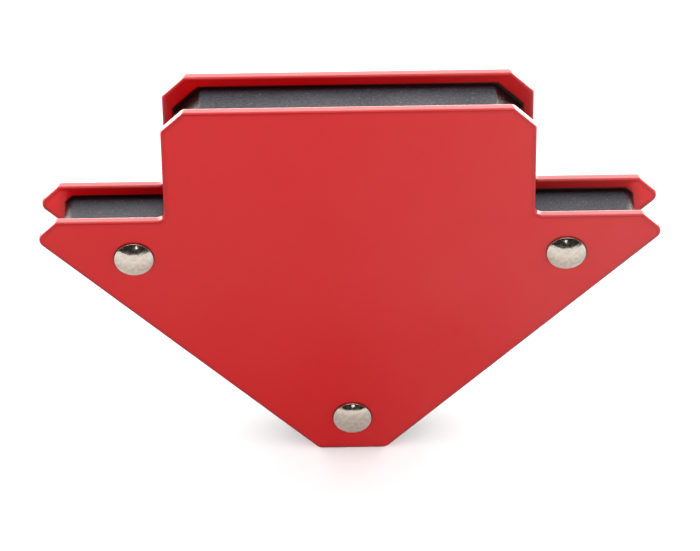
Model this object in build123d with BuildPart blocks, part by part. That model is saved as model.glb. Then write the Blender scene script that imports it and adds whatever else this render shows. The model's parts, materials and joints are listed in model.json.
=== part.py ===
from build123d import *
import os
from math import radians, sqrt, tan

# Arrow-shaped magnetic welding holder, 23 kg (50 lb) class.
#
# Two steel side plates with the same arrow outline are riveted together over a moulded core frame that
# carries five ferrite block magnets. The plates are the two poles: every edge of the outline is a
# working edge, and a workpiece that bridges both plates is held at 45, 90 or 135 degrees.
#
# The frame: millimetres, X along the width, Y through the thickness with the rivet heads at the front
# (-Y), Z up. The holder stands on the short flat at the point of the arrow, and the origin is the centre
# of that flat. Nothing on it moves.

# ---- Driving dimensions ----
overall_width = 120.0  # over the two rounded tips
overall_height = 83.8
head_width = 71.3  # the rectangular block above the shoulders
shoulder_height = 58.2
head_chamfer = 4.4
shoulder_chamfer = 4.2
plate_thickness = 2.0
magnet_gap = 9.5  # between the inner faces of the plates

# Corner radii of the plate outline, seen from the front
tip_radius = 1.9
notch_radius = 1.6
head_corner_radius = 1.2
base_corner_radius = 1.8
plate_edge_radius = 0.5  # the coating rounds every edge of the sheet

# Rivets
rivet_spread = 83.8  # between the two shoulder rivets
shoulder_rivet_height = 49.4
base_rivet_height = 8.2
shank_radius = 2.5
head_radius = 3.8
head_rim = 0.4
head_dome = 1.0
roll_radius = 3.8  # the rolled end at the rear
roll_height = 1.25
roll_lip_height = 0.4  # of the rolled wall's inner lip
bore_radius = 1.75
bore_depth = 4.0  # of the hollow end, inwards from the rear plate's outer face
bore_point_angle = 118  # of the conical bottom of the hollow end, in degrees
shank_clearance = 0.05

# Spacer sleeves around the rivet shanks
sleeve_outer_radius = 3.5
sleeve_inner_radius = 2.6
sleeve_chamfer = 0.25

# Core frame
core_thickness = 9.3  # a little under the gap, so that the magnets touch both plates
core_inset = 2.1
core_head_chamfer = 5.4
core_wing_width = 111.0
core_wing_radius = 2.5
core_corner_radius = 1.0
core_edge_radius = 0.4
wall = 2.5  # outer wall
cell_wall = 1.8  # walls around the magnet pockets
rib = 1.6
membrane = 1.6  # the thin web at mid thickness that ties walls and ribs together
boss_radius = 5.0
boss_clearance = 0.05

# Magnets: five equal ferrite blocks, magnetised through their thickness
magnet_width = 25.0
magnet_height = 20.0
magnet_chamfer = 0.6
pocket_clearance = 0.3
pocket_corner_radius = 0.8
locating_rib_radius = 0.5
locating_rib_stand = 0.25  # how far a locating rib stands into the pocket, just short of the magnet

# ---- Values worked out from them ----
same_point = 0.01  # corners this close are the same corner
half_gap = magnet_gap / 2
outer_face = half_gap + plate_thickness
head_half = head_width / 2
tip_half = overall_width / 2 + tip_radius * (sqrt(2) - 1)  # the sharp corner outside the rounded tip
tip_height = shoulder_height - shoulder_chamfer
base_half = tip_half - tip_height  # the two slopes run at 45 degrees

core_head_half = head_half - core_inset
core_top = overall_height - core_inset
core_shoulder = shoulder_height - core_inset
core_wing_half = core_wing_width / 2
slope_run = base_half - core_inset * sqrt(2)  # on the core's slope, x is this much more than z
core_wing_low = core_wing_half - slope_run
core_base_half = core_inset + slope_run

pocket_width = magnet_width + 2 * pocket_clearance
pocket_height = magnet_height + 2 * pocket_clearance
row_pitch = pocket_height + cell_wall
top_row = core_top - cell_wall - pocket_height / 2
middle_row = top_row - row_pitch
bottom_row = middle_row - row_pitch
column = (pocket_width + cell_wall) / 2
cell_side = column + (pocket_width + cell_wall) / 2  # mid-wall, beside the upper four magnets
cell_under = middle_row - (pocket_height + cell_wall) / 2  # mid-wall, under the middle two

rivet_places = {
    "left": (-rivet_spread / 2, shoulder_rivet_height),
    "right": (rivet_spread / 2, shoulder_rivet_height),
    "bottom": (0, base_rivet_height),
}
magnet_places = {
    "top_left": (-column, top_row),
    "top_right": (column, top_row),
    "middle_left": (-column, middle_row),
    "middle_right": (column, middle_row),
    "bottom": (0, bottom_row),
}


def save(builder, name):
    """Labels a finished piece and writes its STEP file."""
    builder.part.label = name
    export_step(builder.part, f"parts/{name}.step")


def corners_at(sketch, x, z):
    """The corners of a symmetric outline at plus and minus x, at height z."""
    here = Vector(x, z)
    return sketch.vertices().filter_by(lambda v: (Vector(abs(v.X), v.Y) - here).length < same_point)


os.makedirs("parts", exist_ok=True)

# ---- The plate outline: half of the arrow, mirrored, with its corners rounded ----
with BuildSketch() as arrow:
    with BuildLine():
        Polyline(
            (0, 0),
            (base_half, 0),
            (tip_half, tip_height),
            (tip_half - shoulder_chamfer, shoulder_height),
            (head_half, shoulder_height),
            (head_half, overall_height - head_chamfer),
            (head_half - head_chamfer, overall_height),
            (0, overall_height),
        )
        mirror(about=Plane.YZ)
    make_face()
    fillet(corners_at(arrow, tip_half, tip_height), tip_radius)
    fillet(corners_at(arrow, head_half, shoulder_height), notch_radius)
    fillet(corners_at(arrow, base_half, 0), base_corner_radius)
    fillet(corners_at(arrow, tip_half - shoulder_chamfer, shoulder_height), head_corner_radius)
    fillet(corners_at(arrow, head_half, overall_height - head_chamfer), head_corner_radius)
    fillet(corners_at(arrow, head_half - head_chamfer, overall_height), head_corner_radius)

# ---- Side plates: stamped steel sheet, red powder coat ----
for name, inner_face in (("front_side_plate", half_gap), ("rear_side_plate", -outer_face)):
    with BuildPart() as side_plate:
        with BuildSketch(Plane.XZ.offset(inner_face)):
            add(arrow.sketch)
            with Locations(*rivet_places.values()):
                Circle(shank_radius + shank_clearance, mode=Mode.SUBTRACT)
        extrude(amount=plate_thickness)
        rims = [face.outer_wire().edges() for face in side_plate.faces().filter_by(Axis.Y)]
        fillet(sum(rims, ShapeList()), plate_edge_radius)
    save(side_plate, name)

# ---- Core frame: one moulding with an outer wall, magnet cells, rivet bosses and ribs ----
with BuildSketch() as core_outline:
    with BuildLine():
        Polyline(
            (0, core_inset),
            (core_base_half, core_inset),
            (core_wing_half, core_wing_low),
            (core_wing_half, core_shoulder),
            (core_head_half, core_shoulder),
            (core_head_half, core_top - core_head_chamfer),
            (core_head_half - core_head_chamfer, core_top),
            (0, core_top),
        )
        mirror(about=Plane.YZ)
    make_face()
    fillet(corners_at(core_outline, core_wing_half, core_shoulder), core_wing_radius)
    fillet(corners_at(core_outline, core_head_half, core_shoulder), notch_radius)
    fillet(corners_at(core_outline, core_head_half, core_top - core_head_chamfer), core_corner_radius)
    fillet(corners_at(core_outline, core_head_half - core_head_chamfer, core_top), core_corner_radius)
    fillet(corners_at(core_outline, core_base_half, core_inset), core_corner_radius)

with BuildSketch() as pockets:
    with Locations(*magnet_places.values()):
        RectangleRounded(pocket_width, pocket_height, pocket_corner_radius)
        rib_x = pocket_width / 2 + locating_rib_radius - locating_rib_stand
        rib_z = pocket_height / 2 + locating_rib_radius - locating_rib_stand
        with GridLocations(2 * rib_x, 0, 2, 1):
            Circle(locating_rib_radius, mode=Mode.SUBTRACT)
        with GridLocations(magnet_width / 2, 2 * rib_z, 2, 2):
            Circle(locating_rib_radius, mode=Mode.SUBTRACT)

with BuildSketch() as walls:
    add(core_outline.sketch)
    offset(core_outline.sketch, amount=-wall, mode=Mode.SUBTRACT)
    with Locations(*magnet_places.values()):
        Rectangle(pocket_width + 2 * cell_wall, pocket_height + 2 * cell_wall)
    with Locations(*rivet_places.values()):
        Circle(boss_radius)
    for side in (-1, 1):
        # From each boss, ribs run level to the magnet cell and the wing's end, and up to the shoulder
        boss = Vector(side * rivet_spread / 2, shoulder_rivet_height)
        cell_joint = Vector(side * cell_side, shoulder_rivet_height)
        wing_end = Vector(side * (core_wing_half - wall / 2), shoulder_rivet_height)
        under_shoulder = Vector(boss.X, core_shoulder - wall / 2)
        with BuildLine():
            Line(cell_joint, wing_end)
            Line(boss, under_shoulder)
        trace(line_width=rib)
        # Square to the slope, ribs run from the cells and the boss to the outer wall
        upper_cell_corner = Vector(side * cell_side, cell_under)
        lower_cell_corner = Vector(side * (pocket_width + cell_wall) / 2, cell_under)
        for start in (lower_cell_corner, upper_cell_corner, cell_joint, boss):
            to_slope = (start.Y + slope_run - abs(start.X)) / sqrt(2) - wall / 2
            with BuildLine():
                PolarLine(start, to_slope, direction=(side, -1))
            trace(line_width=rib)

with BuildPart() as core_frame:
    mid = Plane.XZ
    with BuildSketch(mid):
        add(walls.sketch)
        add(core_outline.sketch, mode=Mode.INTERSECT)
    extrude(amount=core_thickness / 2, both=True)
    with BuildSketch(mid):
        offset(core_outline.sketch, amount=-wall / 2)
    extrude(amount=membrane / 2, both=True)
    with BuildSketch(mid):
        add(pockets.sketch)
    extrude(amount=core_thickness / 2, both=True, mode=Mode.SUBTRACT)
    with BuildSketch(mid):
        with Locations(*rivet_places.values()):
            Circle(sleeve_outer_radius + boss_clearance)
    extrude(amount=core_thickness / 2, both=True, mode=Mode.SUBTRACT)
    front_and_rear = core_frame.faces().filter_by(Axis.Y).group_by(Axis.Y)
    outer_rims = [face.outer_wire().edges() for face in front_and_rear[0] + front_and_rear[-1]]
    fillet(sum(outer_rims, ShapeList()), core_edge_radius)
save(core_frame, "core_frame")

# ---- Magnets: pressed and ground ferrite blocks ----
for place, (x, z) in magnet_places.items():
    with BuildPart() as magnet:
        with Locations((x, 0, z)):
            Box(magnet_width, magnet_gap, magnet_height)
        chamfer(magnet.edges().filter_by(Axis.Y), magnet_chamfer)
    save(magnet, f"magnet_{place}")

# ---- Spacer sleeves: aluminium tube, keeps the plates apart while the rivets are set ----
for place, (x, z) in rivet_places.items():
    with BuildPart() as sleeve:
        with BuildSketch(Plane.XZ.offset(-half_gap)):
            with Locations((x, z)):
                Circle(sleeve_outer_radius)
                Circle(sleeve_inner_radius, mode=Mode.SUBTRACT)
        extrude(amount=magnet_gap)
        chamfer(sleeve.edges().filter_by(GeomType.CIRCLE), sleeve_chamfer)
    save(sleeve, f"spacer_sleeve_{place}")

# ---- Rivets: plated steel, domed head at the front, hollow end rolled over at the rear ----
dome_radius = (head_radius**2 + head_dome**2) / (2 * head_dome)
bore_bottom = outer_face - bore_depth
bore_tip = bore_bottom - bore_radius / tan(radians(bore_point_angle / 2))
for place, (x, z) in rivet_places.items():
    with BuildPart() as rivet:
        with BuildSketch(Plane(origin=(x, 0, z), x_dir=(1, 0, 0), z_dir=(0, 0, 1))):
            with BuildLine():
                rim = (head_radius, -outer_face - head_rim)
                apex = (0, -outer_face - head_rim - head_dome)
                RadiusArc(apex, rim, -dome_radius)
                Polyline(
                    rim,
                    (head_radius, -outer_face),
                    (shank_radius, -outer_face),
                    (shank_radius, outer_face),
                    (roll_radius, outer_face),
                )
                crown = ((roll_radius + bore_radius) / 2, outer_face + roll_height)
                lip = (bore_radius, outer_face + roll_lip_height)
                TangentArc((roll_radius, outer_face), crown, tangent=(0, 1))
                TangentArc(crown, lip, tangent=(-1, 0))
                Polyline(lip, (bore_radius, bore_bottom), (0, bore_tip), apex)
            make_face()
        revolve(axis=Axis((x, 0, z), (0, 1, 0)))
    save(rivet, f"rivet_{place}")
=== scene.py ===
# %% [markdown]
# # An arrow-shaped welding magnet holder
# A welder sets this holder in the corner between two pieces of steel, and it keeps them at an angle while
# both hands are busy with the torch. It is a simple thing: two arrow-shaped plates of coated sheet steel,
# a dark moulded core between them that carries the magnets, and three plated rivets that clamp the lot.
# The sizes are already settled in the CAD model, so this lesson loads that model as a fixed frame and
# spends its effort on what the eye sees: rounded sheet edges, turned rivet heads and the finishes.

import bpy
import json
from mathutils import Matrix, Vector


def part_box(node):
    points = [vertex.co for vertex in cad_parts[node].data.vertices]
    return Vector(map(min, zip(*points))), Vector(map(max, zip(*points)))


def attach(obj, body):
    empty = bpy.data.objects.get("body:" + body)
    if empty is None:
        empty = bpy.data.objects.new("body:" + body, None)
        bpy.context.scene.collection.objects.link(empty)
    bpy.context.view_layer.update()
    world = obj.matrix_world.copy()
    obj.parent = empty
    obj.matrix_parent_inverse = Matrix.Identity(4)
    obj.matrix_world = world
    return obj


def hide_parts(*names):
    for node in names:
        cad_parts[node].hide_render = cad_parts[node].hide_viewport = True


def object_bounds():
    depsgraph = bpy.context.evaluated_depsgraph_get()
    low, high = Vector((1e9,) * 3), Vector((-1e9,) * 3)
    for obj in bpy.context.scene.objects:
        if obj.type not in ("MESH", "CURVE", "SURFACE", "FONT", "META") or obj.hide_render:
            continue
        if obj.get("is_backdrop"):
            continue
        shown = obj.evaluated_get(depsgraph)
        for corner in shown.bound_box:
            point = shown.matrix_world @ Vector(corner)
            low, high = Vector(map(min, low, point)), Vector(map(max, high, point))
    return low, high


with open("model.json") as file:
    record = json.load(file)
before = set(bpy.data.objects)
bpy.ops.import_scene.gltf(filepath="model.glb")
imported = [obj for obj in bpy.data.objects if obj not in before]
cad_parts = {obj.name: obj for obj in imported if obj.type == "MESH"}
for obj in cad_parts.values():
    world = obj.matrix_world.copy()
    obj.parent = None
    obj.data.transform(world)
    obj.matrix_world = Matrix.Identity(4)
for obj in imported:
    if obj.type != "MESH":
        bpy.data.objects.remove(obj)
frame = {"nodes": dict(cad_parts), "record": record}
cad_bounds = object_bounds()
print("CAD nodes:", ", ".join(sorted(frame["nodes"])))

# %% [markdown]
# Everything below is in metres, but a part of this size is easier to think about in millimetres. One named
# unit lets every size be written the way it would stand on a drawing.

# %% Modules and units
import json
from math import cos, pi, radians, sin, sqrt

import bmesh
import bpy
from mathutils import Matrix, Vector

MM = 0.001
scene = bpy.context.scene
print("one millimetre is", MM, "m")

# %% [markdown]
# Node trees are Blender's way of describing both shapes and finishes. Each one is a list of nodes with
# wires between them. They could be drawn by hand in the editor, but a script is easier to read and repeat,
# once two helpers take the routine out of it. `place` adds a node, sets its options and fills its inputs,
# either with a plain value or with another node's output. `new_group` makes an empty tree with named
# inputs and outputs.

# %% Helpers for node trees
SOCKETS = {
    "value": "NodeSocketFloat",
    "count": "NodeSocketInt",
    "vector": "NodeSocketVector",
    "geometry": "NodeSocketGeometry",
    "object": "NodeSocketObject",
    "material": "NodeSocketMaterial",
}


def is_socket(value):
    return isinstance(value, bpy.types.NodeSocket)


def place(tree, kind, inputs=None, **settings):
    """Adds a node to a tree. An input is given by name or number, as a value or as another node's output."""
    node = tree.nodes.new(kind)
    for name, value in settings.items():
        setattr(node, name, value)
    for key, value in (inputs or {}).items():
        if is_socket(value):
            tree.links.new(value, node.inputs[key])
        else:
            node.inputs[key].default_value = value
    return node


def new_group(kind, name, inputs, outputs):
    """An empty node group. Inputs are (name, sort, default) and outputs are (name, sort)."""
    tree = bpy.data.node_groups.new(name, kind)
    for label, sort, default in inputs:
        socket = tree.interface.new_socket(label, in_out="INPUT", socket_type=SOCKETS[sort])
        if default is not None:
            socket.default_value = default
    for label, sort in outputs:
        tree.interface.new_socket(label, in_out="OUTPUT", socket_type=SOCKETS[sort])
    return tree, tree.nodes.new("NodeGroupInput").outputs, tree.nodes.new("NodeGroupOutput").inputs


print("kinds of socket:", ", ".join(SOCKETS))

# %% [markdown]
# Most nodes in any tree do small sums: add two values, take a vector apart, spread a value over a range, or
# mix two colours. Each of these gets a helper of its own that gives back the output to wire on, so that a
# recipe reads like a formula.

# %% Helpers for values, vectors and colours
def math_node(tree, operation, *values, clamp=False):
    """The output of a Math node with these values or sockets."""
    inputs = dict(enumerate(values))
    return place(tree, "ShaderNodeMath", inputs, operation=operation, use_clamp=clamp).outputs[0]


def vector_math(tree, operation, *values, output="Vector"):
    """An output of a Vector Math node."""
    return place(tree, "ShaderNodeVectorMath", dict(enumerate(values)), operation=operation).outputs[output]


def parts(tree, vector):
    """The X, Y and Z of a vector."""
    return place(tree, "ShaderNodeSeparateXYZ", {0: vector}).outputs


def combine(tree, x=0.0, y=0.0, z=0.0):
    """A vector put together from three values or sockets."""
    return place(tree, "ShaderNodeCombineXYZ", {0: x, 1: y, 2: z}).outputs[0]


def ranged(tree, value, low, high, start=0.0, end=1.0, smooth=False):
    """A value that goes from low to high while another goes from start to end."""
    inputs = {"Value": value, "From Min": start, "From Max": end, "To Min": low, "To Max": high}
    curve = "SMOOTHSTEP" if smooth else "LINEAR"
    return place(tree, "ShaderNodeMapRange", inputs, interpolation_type=curve).outputs[0]


def mix_colors(tree, mask, low, high):
    """A colour that goes from low to high as the mask goes from 0 to 1."""
    ends = [end if is_socket(end) else (*end, 1.0) for end in (low, high)]
    return place(tree, "ShaderNodeMix", {0: mask, 6: ends[0], 7: ends[1]}, data_type="RGBA").outputs[2]


def ramp(tree, value, stops):
    """A colour ramp over stops of (place from 0 to 1, colour). The two outer stops come first."""
    node = place(tree, "ShaderNodeValToRGB", {0: value})
    node.color_ramp.interpolation = "EASE"
    elements = node.color_ramp.elements
    for index, (spot, color) in enumerate(stops):
        element = elements[index] if index < 2 else elements.new(spot)
        element.position = spot
        element.color = (*color, 1.0)
    return node.outputs[0]


print("helpers ready")

# %% [markdown]
# ## Reading the sizes off the frame
# The holder's outline could be typed in again, but then a change to the CAD model would leave the looks
# behind. So the main sizes are read from the frame: the plates' boxes give their faces, and the edges where
# work is held are recorded as mounts, whose places fix the block's sides, the shoulders and the slopes.
# Only the small corner sizes are named here.

# %% Sizes of the plates and places of the rivets
mounts = {m["name"]: Vector(m["pos_m"]) for m in frame["record"]["mounts"]}
plate_low, plate_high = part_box("front_side_plate")
plate_thickness = plate_high.y - plate_low.y
plate_top = plate_high.z
head_half = mounts["right_block_side"].x
shoulder = mounts["right_shoulder"].z
base_half = mounts["right_slope"].x - mounts["right_slope"].z

head_chamfer = 4.4 * MM
shoulder_chamfer = 4.2 * MM
tip_radius = 1.9 * MM
notch_radius = 1.6 * MM
head_corner_radius = 1.2 * MM
base_corner_radius = 1.8 * MM
plate_edge_radius = 0.5 * MM
plate_edge_lip = 0.6 * MM
shank_radius = 2.5 * MM
shank_clearance = 0.05 * MM

rivet_nodes = ["rivet_left", "rivet_right", "rivet_bottom"]
rivet_centres = []
for name in rivet_nodes:
    low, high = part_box(name)
    rivet_centres.append(Vector(((low.x + high.x) / 2, 0, (low.z + high.z) / 2)))
print("plate thickness, mm:", round(plate_thickness / MM, 2))
print("rivet centres, mm:", [(round(c.x / MM, 1), round(c.z / MM, 1)) for c in rivet_centres])

# %% [markdown]
# ## The plates: stamped sheet with a rounded outline
# Each plate is punched from 2 mm sheet and then powder coated, and its edges come out a little rounded. A
# cube cut with Booleans would give the outline but a messy mesh. Geometry Nodes follow the way the real
# edge is made: an outline with its corners rounded, an edge profile swept around it, and flat faces that
# close the two sides. The only points needed are the sharp corners, each with the radius it is rounded to.

# %% Corner points of the arrow outline
tip_height = shoulder - shoulder_chamfer
tip_half = base_half + tip_height
right_corners = [
    (base_half, 0, base_corner_radius),
    (tip_half, tip_height, tip_radius),
    (tip_half - shoulder_chamfer, shoulder, head_corner_radius),
    (head_half, shoulder, notch_radius),
    (head_half, plate_top - head_chamfer, head_corner_radius),
    (head_half - head_chamfer, plate_top, head_corner_radius),
]
left_corners = [(-x, z, radius) for x, z, radius in reversed(right_corners)]
arrow_corners = right_corners + left_corners
print("outline corners:", len(arrow_corners))

# %% [markdown]
# A node tree needs something to start from. Here that is a mesh with no faces at all: a chain of edges
# through the corner points, with the rounding radius stored on each point as an attribute. The rivets'
# places are passed on in the same plain way, as a mesh of three loose points.

# %% Objects that the trees start from
def add_object(name, data):
    """Links a new object for this data into the scene."""
    made = bpy.data.objects.new(name, data)
    scene.collection.objects.link(made)
    return made


def chain_object(name, points, radii, closed):
    """A chain of edges through the points, each with its rounding radius stored on it."""
    count = len(points)
    edges = [(i, (i + 1) % count) for i in range(count if closed else count - 1)]
    mesh = bpy.data.meshes.new(name)
    mesh.from_pydata(points, edges, [])
    stored = mesh.attributes.new("corner_radius", "FLOAT", "POINT")
    stored.data.foreach_set("value", radii)
    return add_object(name, mesh)


rivet_places_mesh = bpy.data.meshes.new("rivet_places")
rivet_places_mesh.from_pydata(rivet_centres, [], [])
rivet_places = add_object("rivet_places", rivet_places_mesh)
print("rivet places:", len(rivet_places_mesh.vertices))

# %% [markdown]
# Both trees in this lesson round corners, move things, join them and smooth them, so these steps are
# written once. Rounding uses the Fillet Curve node, which can take a different radius at each point.
# Smoothing stops at edges that turn by more than a given angle: without that, a sharp rim drags streaks of
# false shading across the flat face beside it.

# %% Helpers for geometry trees
FLAT_TURN = (-pi / 2, 0, 0)
UPRIGHT_TURN = (pi / 2, 0, 0)
same_point = 0.002 * MM


def moved(tree, geometry, **inputs):
    """The geometry after a Transform node."""
    return place(tree, "GeometryNodeTransform", {"Geometry": geometry, **inputs}).outputs[0]


def stored_value(tree, name):
    """The value of a named attribute."""
    return place(tree, "GeometryNodeInputNamedAttribute", {"Name": name}, data_type="FLOAT").outputs[0]


def store(tree, geometry, name, value, data_type="FLOAT"):
    """The geometry with a value stored on its points."""
    inputs = {"Geometry": geometry, "Name": name, "Value": value}
    settings = {"data_type": data_type, "domain": "POINT"}
    return place(tree, "GeometryNodeStoreNamedAttribute", inputs, **settings).outputs[0]


def rounded(tree, curve, steps, radius):
    """The curve with its corners replaced by arcs of short straight steps."""
    inputs = {"Curve": curve, "Count": steps, "Radius": radius, "Limit Radius": True}
    return place(tree, "GeometryNodeFilletCurve", inputs, mode="POLY").outputs[0]


def swept(tree, path, profile):
    """The profile swept along the path."""
    inputs = {"Curve": path, "Profile Curve": profile}
    return place(tree, "GeometryNodeCurveToMesh", inputs).outputs[0]


def joined(tree, *pieces):
    """Several geometries as one."""
    join = place(tree, "GeometryNodeJoinGeometry")
    for piece in pieces:
        tree.links.new(piece, join.inputs[0])
    return join.outputs[0]


def welded(tree, geometry):
    """The geometry with points that touch made into one."""
    inputs = {"Geometry": geometry, "Distance": same_point}
    return place(tree, "GeometryNodeMergeByDistance", inputs).outputs[0]


def flipped(tree, mesh):
    return place(tree, "GeometryNodeFlipFaces", {"Mesh": mesh}).outputs[0]


def smooth_to(tree, geometry, angle):
    """Smooth shading everywhere but on edges that turn by more than the angle."""
    turn = place(tree, "GeometryNodeInputMeshEdgeAngle").outputs["Unsigned Angle"]
    compare = {"data_type": "FLOAT", "operation": "LESS_EQUAL"}
    is_soft = place(tree, "FunctionNodeCompare", {0: turn, 1: angle}, **compare).outputs[0]
    faces = place(tree, "GeometryNodeSetShadeSmooth", {"Geometry": geometry}, domain="FACE").outputs[0]
    inputs = {"Geometry": faces, "Shade Smooth": is_soft}
    return place(tree, "GeometryNodeSetShadeSmooth", inputs, domain="EDGE").outputs[0]


def finished(tree, geometry, finish):
    """Real geometry, with no instances left, that carries the finish."""
    real = place(tree, "GeometryNodeRealizeInstances", {"Geometry": geometry}).outputs[0]
    return place(tree, "GeometryNodeSetMaterial", {"Geometry": real, "Material": finish}).outputs[0]


print("points closer than", same_point / MM, "mm are welded")

# %% [markdown]
# The plate's tree starts by laying the corners flat, because the node that fills curves works in the ground
# plane. It turns the chain into a curve and rounds each corner by the radius stored on it. Ten steps to a
# corner are enough, as the largest of these arcs is smaller than a lentil.

# %% Side plate tree: the outline
plate_tree, given, result = new_group(
    "GeometryNodeTree",
    "side plate",
    [
        ("Corners", "geometry", None),
        ("Rivet Places", "object", None),
        ("Thickness", "value", 2 * MM),
        ("Edge Radius", "value", 0.5 * MM),
        ("Lip", "value", 0.6 * MM),
        ("Hole Radius", "value", 2.55 * MM),
        ("Rear Face", "value", 0.0),
        ("Finish", "material", None),
    ],
    [("Plate", "geometry")],
)
outline_steps, edge_steps, hole_sides = 10, 6, 48

flat_corners = moved(plate_tree, given["Corners"], Rotation=FLAT_TURN)
loop = place(plate_tree, "GeometryNodeMeshToCurve", {"Mesh": flat_corners}).outputs[0]
outline = rounded(plate_tree, loop, outline_steps, stored_value(plate_tree, "corner_radius"))
print("outline points:", outline_steps * len(arrow_corners))

# %% [markdown]
# The sheet's edge is a profile that is swept around the outline: a flat lip, a quarter round, the straight
# part, a quarter round and a flat lip. The lips leave room for a finish to fade out beside the edge. Points
# on the rounding are marked with a value called rim, so that the powder coat can find them later.

# %% Side plate tree: the edge
edge_radius, thickness = given["Edge Radius"], given["Thickness"]
round_start = math_node(plate_tree, "MULTIPLY", edge_radius, -1.0)
lip_start = math_node(plate_tree, "SUBTRACT", round_start, given["Lip"])
below_sheet = math_node(plate_tree, "MULTIPLY", thickness, -1.0)
profile_points = {
    "Point 1": combine(plate_tree, lip_start),
    "Point 2": combine(plate_tree),
    "Point 3": combine(plate_tree, 0.0, below_sheet),
    "Point 4": combine(plate_tree, lip_start, below_sheet),
}
square = place(plate_tree, "GeometryNodeCurvePrimitiveQuadrilateral", profile_points, mode="POINTS")
open_square = {"Geometry": square.outputs[0], "Cyclic": False}
edge_open = place(plate_tree, "GeometryNodeSetSplineCyclic", open_square).outputs[0]
edge_profile = rounded(plate_tree, edge_open, edge_steps, edge_radius)

along_profile = parts(plate_tree, place(plate_tree, "GeometryNodeInputPosition").outputs[0])[0]
rounding_limit = math_node(plate_tree, "SUBTRACT", round_start, same_point)
on_rounding = math_node(plate_tree, "GREATER_THAN", along_profile, rounding_limit)
edge_band = swept(plate_tree, outline, store(plate_tree, edge_profile, "rim", on_rounding))
print("edge radius, mm:", plate_edge_radius / MM, "lip, mm:", round(plate_edge_lip / MM, 2))

# %% [markdown]
# The rivet holes are three flat circles, set with Instance on Points. Their walls are the same circles swept
# by a short straight line, as deep as the sheet.

# %% Side plate tree: the holes
places = place(plate_tree, "GeometryNodeObjectInfo", {"Object": given["Rivet Places"]}).outputs["Geometry"]
hole_points = moved(plate_tree, places, Rotation=FLAT_TURN)
circle_size = {"Resolution": hole_sides, "Radius": given["Hole Radius"]}
hole_circle = place(plate_tree, "GeometryNodeCurvePrimitiveCircle", circle_size).outputs[0]
hole_setting = {"Points": hole_points, "Instance": hole_circle}
hole_rings = place(plate_tree, "GeometryNodeInstanceOnPoints", hole_setting).outputs[0]
holes = place(plate_tree, "GeometryNodeRealizeInstances", {"Geometry": hole_rings}).outputs[0]
wall_line = {"End": combine(plate_tree, 0.0, below_sheet)}
wall_profile = place(plate_tree, "GeometryNodeCurvePrimitiveLine", wall_line).outputs[0]
hole_walls = swept(plate_tree, holes, wall_profile)
print("hole diameter, mm:", round(2 * (shank_radius + shank_clearance) / MM, 2))

# %% [markdown]
# The flat faces are filled between the band's open borders and the circles. The borders are turned back
# into curves for that, so the faces share every point with the edge, and welding them leaves no gap. The
# lower face is filled facing up, as the upper one is, and so it is flipped to face outwards.

# %% Side plate tree: the faces
neighbours = place(plate_tree, "GeometryNodeInputMeshEdgeNeighbors").outputs["Face Count"]
compare = {"data_type": "INT", "operation": "EQUAL"}
is_border = place(plate_tree, "FunctionNodeCompare", {2: neighbours, 3: 1}, **compare).outputs[0]
height = parts(plate_tree, place(plate_tree, "GeometryNodeInputPosition").outputs[0])[2]
half_height = math_node(plate_tree, "MULTIPLY", thickness, 0.5)
is_low = math_node(plate_tree, "LESS_THAN", height, half_height)
is_high = math_node(plate_tree, "SUBTRACT", 1.0, is_low)
flat_faces = []
for side in (is_low, is_high):
    border = {"Mesh": edge_band, "Selection": math_node(plate_tree, "MULTIPLY", is_border, side)}
    rim_curve = place(plate_tree, "GeometryNodeMeshToCurve", border).outputs[0]
    to_fill = {"Curve": joined(plate_tree, rim_curve, holes)}
    flat_faces.append(place(plate_tree, "GeometryNodeFillCurve", to_fill, mode="TRIANGLES").outputs[0])
low_face = flipped(plate_tree, flat_faces[0])
high_face = moved(plate_tree, flat_faces[1], Translation=combine(plate_tree, 0.0, 0.0, thickness))
print("flat faces:", len(flat_faces))

# %% [markdown]
# Last, the band, the faces and the walls become one closed sheet, which is stood up and moved to where the
# CAD model has it. The swept band comes out facing inwards, so it is flipped first.

# %% Side plate tree: one closed sheet
sharp_above = radians(40)
sheet = joined(plate_tree, flipped(plate_tree, edge_band), low_face, high_face, hole_walls)
smooth_sheet = smooth_to(plate_tree, welded(plate_tree, sheet), sharp_above)
to_rear_face = combine(plate_tree, 0.0, given["Rear Face"], 0.0)
upright = moved(plate_tree, smooth_sheet, Rotation=UPRIGHT_TURN, Translation=to_rear_face)
plate_tree.links.new(finished(plate_tree, upright, given["Finish"]), result["Plate"])
print("side plate tree:", len(plate_tree.nodes), "nodes")

# %% [markdown]
# A tree only describes a shape. To use it, it is put on an object as a modifier, its inputs are set by their
# identifiers, and the evaluated result is kept as a plain mesh. The Weighted Normal modifier runs after it
# and keeps the large faces flat in the light, while the rounded edges stay smooth. A short report then says
# whether the mesh is closed and faces outwards, which a positive volume shows.

# %% Helpers that run a tree and measure its result
def run_tree(obj, tree, inputs):
    """Puts the tree on the object, evaluates it, and gives back the object with a plain mesh."""
    modifier = obj.modifiers.new(tree.name, "NODES")
    modifier.node_group = tree
    identifiers = {
        item.name: item.identifier for item in tree.interface.items_tree if item.in_out == "INPUT"
    }
    for name, value in inputs.items():
        modifier[identifiers[name]] = value
    weighted = obj.modifiers.new("even normals", "WEIGHTED_NORMAL")
    weighted.keep_sharp = True
    depsgraph = bpy.context.evaluated_depsgraph_get()
    depsgraph.update()
    mesh = bpy.data.meshes.new_from_object(obj.evaluated_get(depsgraph))
    obj.modifiers.clear()
    obj.data = mesh
    return obj


def report_mesh(obj):
    """Prints a piece's size, and whether its mesh is closed with its faces outwards."""
    check = bmesh.new()
    check.from_mesh(obj.data)
    open_edges = sum(not edge.is_manifold for edge in check.edges)
    volume = check.calc_volume(signed=True) / MM**3
    check.free()
    size = [round(side / MM, 2) for side in obj.dimensions]
    faces = len(obj.data.polygons)
    print(f"{obj.name}: {faces} faces, size {size} mm, volume {volume:.0f} mm3, open edges {open_edges}")


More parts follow.
